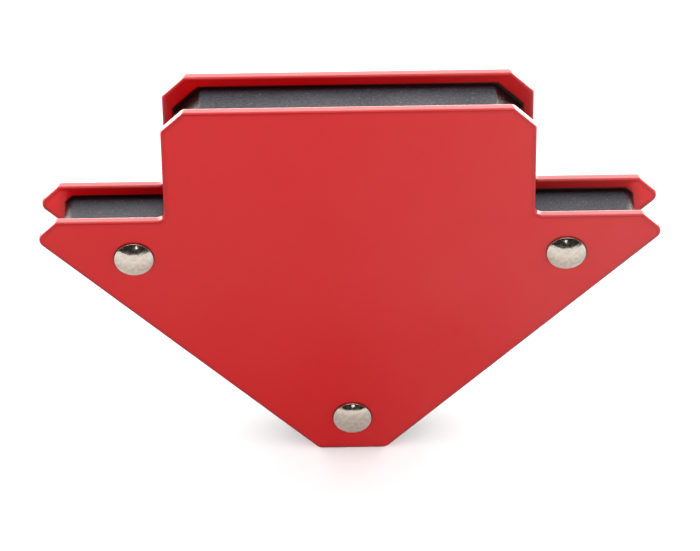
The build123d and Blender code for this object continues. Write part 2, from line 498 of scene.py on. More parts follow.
print("ready to run", plate_tree.name)

# %% [markdown]
# ## Shader groups: effects that several finishes share
# Paint, moulding, nickel and ferrite look different, yet they share small effects, such as a grain, specks
# and fine scratches. Each effect is one node group with named inputs, so a material only has to say how
# large and how strong it is. All of them are built from two textures, so those get a helper each.

# %% Helpers for noise and cells
def noise(tree, vector, scale, detail, **more):
    """The outputs of a Noise texture."""
    inputs = {"Vector": vector, "Scale": scale, "Detail": detail, **more}
    return place(tree, "ShaderNodeTexNoise", inputs).outputs


def cells(tree, vector, scale):
    """The distance to the middle of the nearest Voronoi cell, and three chance values of that cell."""
    found = place(tree, "ShaderNodeTexVoronoi", {"Vector": vector, "Scale": scale}).outputs
    return found["Distance"], place(tree, "ShaderNodeSeparateColor", {0: found["Color"]}).outputs


print("two textures carry every effect: noise and cells")

# %% [markdown]
# Grain is on every surface of the holder. The group gives a fine noise, to be used as a height, and a much
# coarser one, for the slow change of tone that handling and uneven spraying leave.

# %% Group: grain and slow tone
grain_group, given, result = new_group(
    "ShaderNodeTree",
    "surface grain",
    [("Place", "vector", None), ("Grains per Metre", "value", 1000.0), ("Detail", "value", 2.0)],
    [("Height", "value"), ("Tone", "value")],
)
slow_share = 0.06
density = given["Grains per Metre"]
slow_density = math_node(grain_group, "MULTIPLY", density, slow_share)
fine_grain = noise(grain_group, given["Place"], density, given["Detail"], Roughness=0.55)
slow_tone = noise(grain_group, given["Place"], slow_density, 3.0)
grain_group.links.new(fine_grain[0], result["Height"])
grain_group.links.new(slow_tone[0], result["Tone"])
print("the tone is", round(1 / slow_share), "times coarser than the grain")

# %% [markdown]
# Specks stand for dust, chips, dents and sparkle, which differ in size and number only. Space is divided
# into cells, a share of the cells is chosen by chance, and each chosen one carries a soft dot of its own
# size. Real specks are scattered in the same way, never in rows.

# %% Group: specks, such as dust, chips and sparkle
speck_group, given, result = new_group(
    "ShaderNodeTree",
    "specks",
    [
        ("Place", "vector", None),
        ("Cells per Metre", "value", 500.0),
        ("Share", "value", 0.1),
        ("Radius", "value", 0.12),
    ],
    [("Mask", "value")],
)
smallest_speck, full_part = 0.3, 0.6
distance, chance = cells(speck_group, given["Place"], given["Cells per Metre"])
chosen = math_node(speck_group, "LESS_THAN", chance[0], given["Share"])
speck_size = math_node(speck_group, "ADD", chance[1], smallest_speck)
reach = math_node(speck_group, "MULTIPLY", given["Radius"], speck_size)
full_reach = math_node(speck_group, "MULTIPLY", reach, full_part)
speck = ranged(speck_group, distance, 0.0, 1.0, reach, full_reach, smooth=True)
speck_group.links.new(math_node(speck_group, "MULTIPLY", speck, chosen), result["Mask"])
print("specks vary in size from", smallest_speck, "to", 1 + smallest_speck, "times the radius")

# %% [markdown]
# Scratches are specks that have been drawn out. The same cells, stretched far along one direction, become
# hair lines, and a slow noise bends them a little, because no hand draws a straight scratch.

# %% Group: fine scratches, as thin stretched cells
scratch_group, given, result = new_group(
    "ShaderNodeTree",
    "fine scratches",
    [
        ("Place", "vector", None),
        ("Turn", "vector", (0.0, 0.6, 0.0)),
        ("Stretch", "vector", (30.0, 600.0, 900.0)),
        ("Share", "value", 0.1),
        ("Width", "value", 0.06),
    ],
    [("Mask", "value")],
)
bends_per_metre, bend_reach = 60.0, 3 * MM
wander = noise(scratch_group, given["Place"], bends_per_metre, 1.0)["Color"]
bend = vector_math(scratch_group, "MULTIPLY", wander, (bend_reach,) * 3)
bent = vector_math(scratch_group, "ADD", given["Place"], bend)
drawing_out = {"Vector": bent, "Rotation": given["Turn"], "Scale": given["Stretch"]}
drawn_out = place(scratch_group, "ShaderNodeMapping", drawing_out, vector_type="POINT").outputs[0]
distance, chance = cells(scratch_group, drawn_out, 1.0)
chosen = math_node(scratch_group, "LESS_THAN", chance[0], given["Share"])
stroke = ranged(scratch_group, distance, 0.0, 1.0, given["Width"], 0.0, smooth=True)
scratch_group.links.new(math_node(scratch_group, "MULTIPLY", stroke, chosen), result["Mask"])
print("scratches wander by up to", bend_reach / MM, "mm")

# %% [markdown]
# A coat looks different where it goes over an edge. The rim value on the plate's points says where the
# rounding is, and the way the surface faces says how far around it a point lies, so the line can be kept to
# the part next to the flat faces. The group gives that line broken into patches, the whole line on the front
# side only, and a mask for surfaces that face down.

# %% Group: a line along the rounded edges
edge_group, given, result = new_group(
    "ShaderNodeTree",
    "edge line",
    [
        ("Facing", "vector", None),
        ("Rim", "value", 0.0),
        ("Place", "vector", None),
        ("Patches per Metre", "value", 300.0),
        ("Cover", "value", 0.5),
    ],
    [("Mask", "value"), ("Below", "value"), ("Front", "value")],
)
line_start, line_full = 0.70, 0.92
patch_contrast = 8.0
facing = parts(edge_group, given["Facing"])
to_flat_face = math_node(edge_group, "ABSOLUTE", facing[1])
next_to_face = ranged(edge_group, to_flat_face, 0.0, 1.0, line_start, line_full, smooth=True)
line_here = math_node(edge_group, "MULTIPLY", next_to_face, given["Rim"])
patches = noise(edge_group, given["Place"], given["Patches per Metre"], 4.0)[0]
covered = math_node(edge_group, "SUBTRACT", given["Cover"], patches)
broken_up = math_node(edge_group, "MULTIPLY_ADD", covered, patch_contrast, 0.5, clamp=True)
front_side = math_node(edge_group, "LESS_THAN", facing[1], 0.0)
edge_group.links.new(math_node(edge_group, "MULTIPLY", line_here, broken_up), result["Mask"])
edge_group.links.new(ranged(edge_group, facing[2], 0.0, 1.0, 0.05, -0.3), result["Below"])
edge_group.links.new(math_node(edge_group, "MULTIPLY", line_here, front_side), result["Front"])
print("the edge line is full where a normal leans", line_full, "towards the flat face")

# %% [markdown]
# Around each rivet head, a thin dark ring is painted on the plate as a painted contact shadow. The ring is
# found by measuring the distance to the nearest rivet on the plate's own plane.

# %% Group: the painted shadow ring on a plate around each rivet head
rivet_shadow_group, given, result = new_group(
    "ShaderNodeTree",
    "rivet seat",
    [("Place", "vector", None), ("From", "value", 3.8 * MM), ("To", "value", 4.15 * MM)],
    [("Mask", "value")],
)
far_away = 1.0
spread = parts(rivet_shadow_group, given["Place"])
on_face = combine(rivet_shadow_group, spread[0], 0.0, spread[2])
nearest = far_away
for centre in rivet_centres:
    to_rivet = vector_math(rivet_shadow_group, "DISTANCE", on_face, centre, output="Value")
    nearest = math_node(rivet_shadow_group, "MINIMUM", to_rivet, nearest)
ring = ranged(rivet_shadow_group, nearest, 0.0, 1.0, given["To"], given["From"], smooth=True)
rivet_shadow_group.links.new(ring, result["Mask"])
print("rivet seats:", len(rivet_centres))

# %% [markdown]
# Just above the core, a thin strip of the plates' inner faces is painted nearly black. It is mostly painted
# shade, as little
# light gets in there, and partly a thin coat, as the spray probably hardly reaches it. The strip follows the
# core's outline:
# the head with its cut corners and the two wings. Each straight side is a limit, and the largest distance
# past any of them says how far a place lies outside that part of the core.

# %% Group: painted shade in the crevice along the core
core_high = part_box("core_frame")[1]
core_inset = plate_top - core_high.z
core_head_chamfer, head_corner_spare = 5.4 * MM, 0.5 * MM
core_wing_chamfer, wing_side_spare = 1.6 * MM, 0.2 * MM
crevice_group, given, result = new_group(
    "ShaderNodeTree",
    "core crevice",
    [("Place", "vector", None), ("Reach", "value", 0.42 * MM)],
    [("Mask", "value")],
)
crevice_place = parts(crevice_group, given["Place"])
aside, upward = math_node(crevice_group, "ABSOLUTE", crevice_place[0]), crevice_place[2]
diagonal = math_node(crevice_group, "ADD", aside, upward)


def past(value, limit):
    """How far a value lies past a limit."""
    return math_node(crevice_group, "SUBTRACT", value, limit)


def past_corner(limit):
    """How far a place lies past a corner that is cut off at 45 degrees."""
    return math_node(crevice_group, "MULTIPLY", past(diagonal, limit), sqrt(0.5))


def outside(*limits):
    """How far a place lies outside all of these limits, as the largest of the distances."""
    farthest = -far_away
    for limit in limits:
        farthest = math_node(crevice_group, "MAXIMUM", limit, farthest)
    return farthest


past_head = outside(
    past(aside, head_half - core_inset),
    past(upward, core_high.z),
    past_corner(core_high.z + head_half - core_inset - core_head_chamfer + head_corner_spare),
)
past_wing = outside(
    past(aside, core_high.x - wing_side_spare),
    past(upward, shoulder - core_inset),
    past_corner(core_high.x + shoulder - core_inset - core_wing_chamfer),
)
past_core = math_node(crevice_group, "MINIMUM", past_head, past_wing)
crevice_mask = ranged(crevice_group, past_core, 0.0, 1.0, given["Reach"], 0.0, smooth=True)
crevice_group.links.new(crevice_mask, result["Mask"])
print("core inset, mm:", round(core_inset / MM, 2))

# %% [markdown]
# ## Materials
# Every finish starts from a Principled shader. This small class makes the material and keeps its tree at
# hand, so that a recipe can say `coat.mix(...)` or `coat.bump(...)`. A finish is built up like the real one,
# from the ground colour outwards, with each layer mixed over the last by a mask and a share.

# %% The finish class
class Finish:
    """A material with a Principled shader, and short ways to add the nodes that feed it."""

    def __init__(self, name, **constants):
        self.material = bpy.data.materials.new(name)
        self.material.use_nodes = True
        self.tree = self.material.node_tree
        self.shader = self.tree.nodes["Principled BSDF"]
        for key, value in constants.items():
            self.shader.inputs[key.replace("_", " ")].default_value = value
        coordinates = place(self.tree, "ShaderNodeTexCoord").outputs
        self.spot, self.facing = coordinates["Object"], coordinates["Normal"]

    def group(self, group, spot=None, **inputs):
        """Places a shader group that reads the object's own coordinates, or another vector."""
        named = {key.replace("_", " "): value for key, value in inputs.items()}
        named["Place"] = spot or self.spot
        return place(self.tree, "ShaderNodeGroup", named, node_tree=group).outputs

    def attribute(self, name, output):
        """A value that is stored on the mesh."""
        return place(self.tree, "ShaderNodeAttribute", attribute_name=name).outputs[output]

    def mix(self, mask, low, high, share=1.0):
        """A colour that goes from low to high with the mask, at most as far as the share."""
        return mix_colors(self.tree, self.math("MULTIPLY", mask, share), low, high)

    def ranged(self, value, low, high, start=0.0, end=1.0):
        return ranged(self.tree, value, low, high, start, end)

    def math(self, operation, *values):
        return math_node(self.tree, operation, *values)

    def bump(self, height, strength, distance, below=None):
        """A normal raised by a height, on top of another bump if there is one."""
        inputs = {"Height": height, "Strength": strength, "Distance": distance}
        if below is not None:
            inputs["Normal"] = below
        return place(self.tree, "ShaderNodeBump", inputs).outputs[0]

    def feed(self, **inputs):
        """Links node outputs to the shader's inputs and gives back the finished material."""
        for key, value in inputs.items():
            self.tree.links.new(value, self.shader.inputs[key.replace("_", " ")])
        print(self.material.name, "has", len(self.tree.nodes), "nodes")
        return self.material


print("node groups so far:", ", ".join(sorted(group.name for group in bpy.data.node_groups)))

# %% [markdown]
# ** Powder coat: the red.** The plates are sprayed with dry red powder that melts in an oven. The red is painted a little
# deeper low on the plates than high up, as painted shade near the floor, and it drifts in slow patches. Two
# reds mixed by height and by a slow noise give both.

# %% Powder coat: the red
COAT_RED = (0.42, 0.0016, 0.0028)
COAT_FOOT_SHADE_RED = (0.375, 0.0008, 0.0018)

coat = Finish("powder_coat", IOR=1.5, Specular_IOR_Level=0.20, Coat_Roughness=0.10)
spot = parts(coat.tree, coat.spot)
peel = coat.group(grain_group, Grains_per_Metre=900.0, Detail=2.0)
# The deeper red towards the foot is painted shade near the floor.
less_shade_upward = coat.ranged(spot[2], 0.0, 0.8, 0.0, plate_top)
in_patches = coat.ranged(peel["Tone"], 0.0, 0.2, 0.35, 0.65)
red = coat.mix(coat.math("ADD", less_shade_upward, in_patches), COAT_FOOT_SHADE_RED, COAT_RED)
print("the red goes from", COAT_FOOT_SHADE_RED, "at the foot towards", COAT_RED, "at the head")

# %% [markdown]
# ** Powder coat: between the plates.** The inner faces are painted brighter at the open tips, as painted light where the core
# no longer blocks the light from the floor. Next to the core they go nearly black, by the crevice group from
# above, which paints shade there.

# %% Powder coat: between the plates
TIP_LIT_RED = (0.62, 0.0020, 0.0040)
CREVICE_SHADE_DARK = (0.003, 0.0012, 0.0014)
inner_reach = 5 * MM
tip_start, tip_end = 54.5 * MM, 57.0 * MM

to_side = coat.math("ABSOLUTE", spot[0])
is_inner = coat.math("LESS_THAN", coat.math("ABSOLUTE", spot[1]), inner_reach)
# The brighter red at the tips is painted light.
lit_at_tip = coat.ranged(to_side, 0.0, 1.0, tip_start, tip_end)
red = coat.mix(coat.math("MULTIPLY", is_inner, lit_at_tip), red, TIP_LIT_RED)
# The near-black strip beside the core is mostly painted shade and partly a thin coat.
in_crevice = coat.math("MULTIPLY", is_inner, coat.group(crevice_group)["Mask"])
red = coat.mix(in_crevice, red, CREVICE_SHADE_DARK, share=0.97)
print("inner faces lie within", inner_reach / MM, "mm of the middle")

# %% [markdown]
# ** Powder coat: edges and chips.** The deeper red line along the front outline is painted shade, as the rounded edge shows
# dark there. Along the edges that face down, a dark purplish line is set in patches. The two tips are what
# knocks against other work, so small chips are set near them and nowhere else.

# %% Powder coat: edges and chips
EDGE_SHADE_RED = (0.33, 0.0006, 0.0012)
PURPLE_GREY = (0.060, 0.008, 0.020)
chips_start, chips_end = 55.5 * MM, 57.5 * MM

rim = coat.attribute("rim", "Fac")
edge = coat.group(edge_group, Facing=coat.facing, Rim=rim, Patches_per_Metre=350.0, Cover=0.60)
chips = coat.group(speck_group, Cells_per_Metre=900.0, Share=0.30, Radius=0.12)
near_tip = coat.ranged(to_side, 0.0, 0.6, chips_start, chips_end)
# The deeper red line on the front outline is painted shade.
red = coat.mix(edge["Front"], red, EDGE_SHADE_RED, share=0.80)
red = coat.mix(coat.math("MULTIPLY", chips["Mask"], near_tip), red, PURPLE_GREY)
red = coat.mix(coat.math("MULTIPLY", edge["Mask"], edge["Below"]), red, PURPLE_GREY, share=0.9)
print("chips begin", round((tip_half - chips_start) / MM, 1), "mm inside the sharp corner of a tip")

# %% [markdown]
# ** Powder coat: use and painted light.** A used holder carries hair-thin scratches and single dust dots. A dark ring at
# each rivet is a painted shadow, and a faint pale haze on the right half only is a painted sheen.

# %% Powder coat: scratches, dust, painted rivet shadows and painted sheen
DUST_AND_SHEEN = (0.80, 0.72, 0.70)
RIVET_SHADOW_RED = (0.050, 0.0010, 0.0020)
sheen_start, sheen_end, sheen_share = -5 * MM, 50 * MM, 0.027
scratch_shape = {"Turn": (0.3, 0.7, 0.2), "Stretch": (60.0, 700.0, 1400.0), "Share": 0.012, "Width": 0.08}

scratches = coat.group(scratch_group, **scratch_shape)
dust = coat.group(speck_group, Cells_per_Metre=420.0, Share=0.05, Radius=0.038)
red = coat.mix(scratches["Mask"], red, DUST_AND_SHEEN, share=0.25)
red = coat.mix(dust["Mask"], red, DUST_AND_SHEEN, share=0.8)
# The dark ring at each rivet is a painted contact shadow.
red = coat.mix(coat.group(rivet_shadow_group)["Mask"], red, RIVET_SHADOW_RED, share=0.95)
# The pale haze on the right half is a painted sheen.
to_right = coat.ranged(spot[0], 0.0, 1.0, sheen_start, sheen_end)
sheen_patches = coat.ranged(peel["Tone"], 0.7, 1.0, 0.3, 0.7)
red = coat.mix(coat.math("MULTIPLY", to_right, sheen_patches), red, DUST_AND_SHEEN, share=sheen_share)
print("haze covers at most", sheen_share, "of the red")

# %% [markdown]
# **Powder coat: gloss.** Powder flows out smooth but never flat, so it has a faint orange-peel ripple and a
# finer grain on top, which are stacked as two bumps. The gloss comes from the shader's coat layer. Its weight
# falls a little towards the foot.

# %% Powder coat: gloss and ripple
dull_foot, full_gloss = 5 * MM, 45 * MM
fine = coat.group(grain_group, Grains_per_Metre=6000.0, Detail=1.0)
ripple = coat.bump(peel["Height"], 0.25, 0.03 * MM)
surface = coat.bump(fine["Height"], 0.15, 0.006 * MM, ripple)
rough = coat.ranged(peel["Tone"], 0.28, 0.40, 0.3, 0.7)
gloss = coat.ranged(spot[2], 0.36, 0.55, dull_foot, full_gloss)
powder_coat = coat.feed(Base_Color=red, Normal=surface, Roughness=rough, Coat_Weight=gloss)

# %% [markdown]
# ** Moulded core.** The core between the plates is moulded from black filled plastic. A mould leaves a fine even grain,
# so the surface is nearly matt with a soft sheen where light grazes it. Single grains that catch the light
# are painted
# glints: tiny lighter specks in the base colour. A few dust dots lie on it as well.

# %% Moulded core: grain, sparkle and dust
CORE_DEEP, CORE_GREY = (0.002, 0.002, 0.004), (0.025, 0.026, 0.041)
CORE_SPARKLE, CORE_DUST = (0.16, 0.16, 0.18), (0.55, 0.50, 0.50)

core = Finish("moulded_core", IOR=1.5, Specular_IOR_Level=0.19)
grain = core.group(grain_group, Grains_per_Metre=2600.0, Detail=3.0)
sparkle = core.group(speck_group, Cells_per_Metre=1900.0, Share=0.30, Radius=0.30)
dust = core.group(speck_group, Cells_per_Metre=500.0, Share=0.05, Radius=0.08)
dark = core.mix(core.ranged(grain["Height"], 0.0, 1.0, 0.38, 0.70), CORE_DEEP, CORE_GREY)
# The sparkle specks are painted glints.
dark = core.mix(sparkle["Mask"], dark, CORE_SPARKLE, share=0.36)
dark = core.mix(dust["Mask"], dark, CORE_DUST, share=0.7)
print("core grain from", CORE_DEEP, "to", CORE_GREY)

# %% [markdown]
# The core is painted darkest where light hardly gets at it, as painted shade: in the corner along the rear
# plate, and on the sides of its outline that are slanted or upright. Handling polishes it unevenly, as a slow
# change of roughness shows.

# %% Moulded core: painted shade and polish
CORE_SHADE = (0.0008, 0.0008, 0.0008)
corner_start, corner_end = 2.8 * MM, 3.8 * MM

to_rear = parts(core.tree, core.spot)[1]
# The darkening in the corner and on the turned-away sides is painted shade.
in_corner = core.ranged(to_rear, 0.0, 1.0, corner_start, corner_end)
turned_away = core.math("ABSOLUTE", parts(core.tree, core.facing)[0])
painted_core_shade = core.math("MAXIMUM", in_corner, core.ranged(turned_away, 0.0, 1.0, 0.35, 0.65))
dark = core.mix(painted_core_shade, dark, CORE_SHADE, share=0.95)
wear = core.group(grain_group, Grains_per_Metre=900.0, Detail=2.0)
polish = core.ranged(wear["Tone"], 0.38, 0.50, 0.35, 0.65)
rough = core.math("MULTIPLY", polish, core.ranged(painted_core_shade, 1.0, 0.45))
surface = core.bump(grain["Height"], 1.0, 0.10 * MM)
moulded_core = core.feed(Base_Color=dark, Roughness=rough, Normal=surface)

# %% [markdown]
# **Nickel rivets.** The rivets are steel with a thin warm nickel plating. Pressing them home leaves small
# dents and a slightly dull, brushed skin on the dome. The dents are placed from a stored copy of each
# point's place on its own rivet, so all three heads are marked around their own middles.

# %% Plated rivet: the plating and its dents
NICKEL_DULL, NICKEL_BRIGHT = (0.80, 0.675, 0.565), (1.0, 0.92, 0.79)
DENT_BROWN = (0.35, 0.28, 0.24)

nickel = Finish("plated_rivet", Metallic=1.0)
own = nickel.attribute("rivet_local", "Vector")
mottle = nickel.group(grain_group, spot=own, Grains_per_Metre=1300.0, Detail=5.0)
dents = nickel.group(speck_group, spot=own, Cells_per_Metre=520.0, Share=0.30, Radius=0.16)
tone = nickel.mix(nickel.ranged(mottle["Height"], 0.0, 1.0, 0.28, 0.60), NICKEL_DULL, NICKEL_BRIGHT)
tone = nickel.mix(dents["Mask"], tone, DENT_BROWN, share=0.55)
print("nickel from", NICKEL_DULL, "to", NICKEL_BRIGHT)

# %% [markdown]
# Rolling the rear end over is taken to break the plating, so it is shown as bare steel. Its bore is painted
# dark, as painted shade inside the hole. Both are found from the stored place: along a rivet's own axis the
# head is up and the rolled end down.

# %% Plated rivet: the rolled end and the bore
BARE_STEEL, BORE_SHADE = (0.30, 0.28, 0.26), (0.03, 0.028, 0.026)

along = parts(nickel.tree, own)
at_rear = nickel.ranged(along[2], 1.0, 0.0, -7.0 * MM, -6.6 * MM)
tone = nickel.mix(at_rear, tone, BARE_STEEL)
# The dark bore is painted shade inside the hole.
flat_place = combine(nickel.tree, along[0], along[1])
from_axis = vector_math(nickel.tree, "LENGTH", flat_place, output="Value")
within_bore = nickel.ranged(from_axis, 1.0, 0.0, 1.7 * MM, 2.0 * MM)
at_bore = nickel.ranged(along[2], 1.0, 0.0, -6.5 * MM, 2.0 * MM)
tone = nickel.mix(nickel.math("MULTIPLY", within_bore, at_bore), tone, BORE_SHADE)
print("bare steel", BARE_STEEL, "and bore", BORE_SHADE)

# %% [markdown]
# A pressed dome is never a perfect mirror. Slow waves, a fine mottle and the dents are stacked as bumps, from
# the largest to the smallest, and brushed scuffs add to the roughness.

# %% Plated rivet: waves, pits and scuffs
scuff_shape = {"Turn": (0.0, 0.0, 0.9), "Stretch": (220.0, 2400.0, 900.0), "Share": 0.16, "Width": 0.16}
scuffs = nickel.group(scratch_group, spot=own, **scuff_shape)
ripple = nickel.group(grain_group, spot=own, Grains_per_Metre=620.0, Detail=2.0)
rough = nickel.ranged(mottle["Height"], 0.07, 0.19, 0.35, 0.65)
rough = nickel.math("ADD", rough, nickel.math("MULTIPLY", scuffs["Mask"], 0.15))
rough = nickel.math("ADD", rough, nickel.math("MULTIPLY", at_rear, 0.25))
waves = nickel.bump(ripple["Height"], 0.5, 0.10 * MM)
waves = nickel.bump(mottle["Height"], 0.5, 0.010 * MM, waves)
pits = nickel.bump(nickel.math("SUBTRACT", 1.0, dents["Mask"]), 0.8, 0.05 * MM, waves)
plated_rivet = nickel.feed(Base_Color=tone, Roughness=rough, Normal=pits)

# %% [markdown]
# **Ferrite magnets.** Nobody sees the magnets in the finished holder, but a part that is opened up should
# still look right. Ferrite is a pressed grey-black ceramic with ground faces and chipped edges.

# %% Ferrite magnet
FERRITE_DARK, FERRITE_GREY = (0.030, 0.030, 0.032), (0.055, 0.054, 0.056)
GROUND_LINE = (0.11, 0.11, 0.115)
grinding = {"Turn": (0.0, 0.1, 0.0), "Stretch": (40.0, 900.0, 4000.0), "Share": 0.8, "Width": 0.5}

ferrite = Finish("ferrite_magnet", IOR=1.8)
grain = ferrite.group(grain_group, Grains_per_Metre=5000.0, Detail=3.0)
chips = ferrite.group(speck_group, Cells_per_Metre=700.0, Share=0.12, Radius=0.25)
grey = ferrite.mix(grain["Tone"], FERRITE_DARK, FERRITE_GREY)
grey = ferrite.mix(ferrite.group(scratch_group, **grinding)["Mask"], grey, GROUND_LINE, share=0.3)
pits = ferrite.bump(ferrite.math("SUBTRACT", 1.0, chips["Mask"]), 0.6, 0.05 * MM)
surface = ferrite.bump(grain["Height"], 0.4, 0.02 * MM, pits)
rough = ferrite.ranged(grain["Height"], 0.45, 0.75, 0.3, 0.7)
ferrite_magnet = ferrite.feed(Base_Color=grey, Roughness=rough, Normal=surface)

# %% [markdown]
# **Drawn sleeves.** The sleeves are cut from aluminium tube. Drawing the tube through a die leaves long fine
# lines along its length, which are scratches stretched along Y, the way the sleeves lie.

# %% Drawn sleeve
DRAWN_DULL, DRAWN_BRIGHT = (0.62, 0.62, 0.64), (0.80, 0.80, 0.81)
die_lines = {"Turn": (0.0, 0.0, 0.0), "Stretch": (3500.0, 60.0, 3500.0), "Share": 0.7, "Width": 0.5}

sleeve = Finish("drawn_sleeve", Metallic=1.0)
lines = sleeve.group(scratch_group, **die_lines)["Mask"]
grain = sleeve.group(grain_group, Grains_per_Metre=1800.0, Detail=2.0)
tone = sleeve.mix(grain["Tone"], DRAWN_DULL, DRAWN_BRIGHT)
rough = sleeve.ranged(lines, 0.28, 0.45)
drawn_sleeve = sleeve.feed(Base_Color=tone, Roughness=rough, Normal=sleeve.bump(lines, 0.3, 0.01 * MM))

# %% [markdown]
# ## Make the two plates
# One tree makes both plates. Only the depth at which the sheet stands differs, and that is read from the CAD
# model's boxes. Each plate then hides the CAD node it stands in for and is attached to the root body.

# %% Side plates
outline_points = [(x, 0, z) for x, z, radius in arrow_corners]
outline_radii = [radius for x, z, radius in arrow_corners]
for node in ("front_side_plate", "rear_side_plate"):
    plate = run_tree(
        chain_object(node.replace("_side", ""), outline_points, outline_radii, closed=True),
        plate_tree,
        {
            "Rivet Places": rivet_places,
            "Thickness": plate_thickness,
            "Edge Radius": plate_edge_radius,
            "Lip": plate_edge_lip,
            "Hole Radius": shank_radius + shank_clearance,
            "Rear Face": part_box(node)[1].y,
            "Finish": powder_coat,
        },
    )
    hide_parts(node)
    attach(plate, "root")
    report_mesh(plate)

# %% [markdown]
# ## The rivets: turned profiles
# A rivet is round, so half of its outline says everything. It starts with the head, a low dome that is part
# of a sphere. A few points on that sphere are worked out from the head's radius and rise.

# %% The domed head
head_radius = 3.8 * MM
head_rim = 0.4 * MM
head_rise = 1.0 * MM
head_rim_round = 0.05 * MM
dome_steps = 14
front_face = -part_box("front_side_plate")[0].y
rear_face = -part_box("rear_side_plate")[1].y
dome_sphere = (head_radius**2 + head_rise**2) / (2 * head_rise)


def dome_point(step):
    """A point on the domed head, from the middle (0) to the rim (dome_steps)."""
    radius = head_radius * step / dome_steps
    drop = dome_sphere - sqrt(dome_sphere**2 - radius**2)
    return radius, front_face + head_rim + head_rise - drop


print("dome sphere radius, mm:", round(dome_sphere / MM, 2))

# %% [markdown]
# The rest of the outline is straight runs with rounded corners, given as radius, height and rounding. It
# goes over the rim and down the shank, around the rolled rear end, and up to the bottom of its bore, which
# is a cone as a drill leaves it.

# %% Half outline of a rivet
roll_radius = 3.8 * MM
roll_height = 1.25 * MM
roll_lip = 0.4 * MM
roll_slant = 1.0 * MM
bore_radius = 1.75 * MM
bore_depth = 4.0 * MM
drill_point_slope = 1.664

roll_end = rear_face - roll_height
bore_bottom = roll_end + bore_depth
half_outline = [(*dome_point(step), 0.0) for step in range(dome_steps)]
half_outline += [
    (*dome_point(dome_steps), head_rim_round),
    (head_radius, front_face, 0.03 * MM),
    (shank_radius, front_face, 0.0),
    (shank_radius, rear_face, 0.0),
    (roll_radius, rear_face, 0.05 * MM),
    (roll_radius, rear_face - roll_lip, 0.3 * MM),
    (roll_radius - roll_slant, roll_end, 0.4 * MM),
    (bore_radius, roll_end, 0.25 * MM),
    (bore_radius, bore_bottom, 0.05 * MM),
    (0.0, bore_bottom + bore_radius / drill_point_slope, 0.0),
]
print("half outline points:", len(half_outline))

# %% [markdown]
# The tree rounds the marked corners and sweeps the half outline around a small circle, as a lathe would turn
# it. The outline is first drawn in by the circle's own radius, so that it meets its axis, and welding closes
# both ends. Each point keeps its place on the rivet in an attribute, and only then is one rivet set at each
# of the three places.

# %% Geometry nodes for the rivets
rivet_tree, given, result = new_group(
    "GeometryNodeTree",
    "turned rivets",
    [
        ("Half Outline", "geometry", None),
        ("Rivet Places", "object", None),
        ("Turn Radius", "value", 1 * MM),
        ("Steps", "count", 96),
        ("Finish", "material", None),
    ],
    [("Rivets", "geometry")],
)
turned_corner_steps, sharp_above = 6, radians(50)
turn_radius = given["Turn Radius"]
chain = place(rivet_tree, "GeometryNodeMeshToCurve", {"Mesh": given["Half Outline"]}).outputs[0]
soft_chain = rounded(rivet_tree, chain, turned_corner_steps, stored_value(rivet_tree, "corner_radius"))
to_axis = combine(rivet_tree, math_node(rivet_tree, "MULTIPLY", turn_radius, -1.0))
lathe_circle = {"Resolution": given["Steps"], "Radius": turn_radius}
lathe_path = place(rivet_tree, "GeometryNodeCurvePrimitiveCircle", lathe_circle).outputs[0]
turned = welded(rivet_tree, swept(rivet_tree, lathe_path, moved(rivet_tree, soft_chain, Translation=to_axis)))
own_place = place(rivet_tree, "GeometryNodeInputPosition").outputs[0]
marked = store(rivet_tree, turned, "rivet_local", own_place, "FLOAT_VECTOR")
one_rivet = smooth_to(rivet_tree, marked, sharp_above)
places = place(rivet_tree, "GeometryNodeObjectInfo", {"Object": given["Rivet Places"]}).outputs["Geometry"]
setting = {"Points": places, "Instance": one_rivet, "Rotation": UPRIGHT_TURN}
set_rivets = place(rivet_tree, "GeometryNodeInstanceOnPoints", setting).outputs[0]
rivet_tree.links.new(finished(rivet_tree, set_rivets, given["Finish"]), result["Rivets"])
print("rivet tree:", len(rivet_tree.nodes), "nodes")

# %% [markdown]
# The half outline is drawn with its heights counted downwards, because a profile's Y comes out as minus Z
# when it is swept. All three rivets become one mesh, which replaces the three CAD nodes.

# %% Rivets
rivet_points = [(radius, -height, 0) for radius, height, rounding in half_outline]
rivet_radii = [rounding for radius, height, rounding in half_outline]
rivets = run_tree(
    chain_object("rivets", rivet_points, rivet_radii, closed=False),
    rivet_tree,
    {"Rivet Places": rivet_places, "Turn Radius": 1 * MM, "Steps": 96, "Finish": plated_rivet},
)
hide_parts(*rivet_nodes)
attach(rivets, "root")
report_mesh(rivets)
bpy.data.objects.remove(rivet_places)

# %% [markdown]
# ## Finish the pieces that stay as they are
# The core, the magnets and the sleeves already have the right shape in the CAD model. Their meshes are left
# alone, and only their material slots are filled.

# %% Materials on the CAD pieces
finishes = {"core": moulded_core, "magnet": ferrite_magnet, "spacer": drawn_sleeve}
for node in frame["nodes"]:
    finish = finishes.get(node.split("_")[0])
    if finish:
        bpy.data.objects[node].data.materials[0] = finish
        print(node, "is", finish.name)

# %% [markdown]
# ## The floor
# The holder stands on a plain white sweep, which is one large plane with a faint paper grain. Its finish
# answers glossy rays differently: they see a floor that is dark far in front, grey near the holder and
# bright behind it, with lit areas behind it on both sides. A studio with dark and bright cards around the
# holder would do the same, and it is what draws the shapes on the rivet domes and the plates' edges.

# %% Floor finish
FLOOR_WHITE, PAPER_WHITE = (0.87, 0.865, 0.868), (0.90, 0.90, 0.90)
gloss_front, gloss_back = -0.30, 0.05
# What glossy rays see of the floor: (y in metres, brightness), with the two outermost first
floor_in_gloss = [(-0.30, 0.02), (0.03, 0.75), (-0.24, 0.49), (-0.07, 0.50), (-0.014, 0.385), (0.0, 0.5)]
gloss_depth = gloss_back - gloss_front
gloss_stops = [((y - gloss_front) / gloss_depth, (level,) * 3) for y, level in floor_in_gloss]

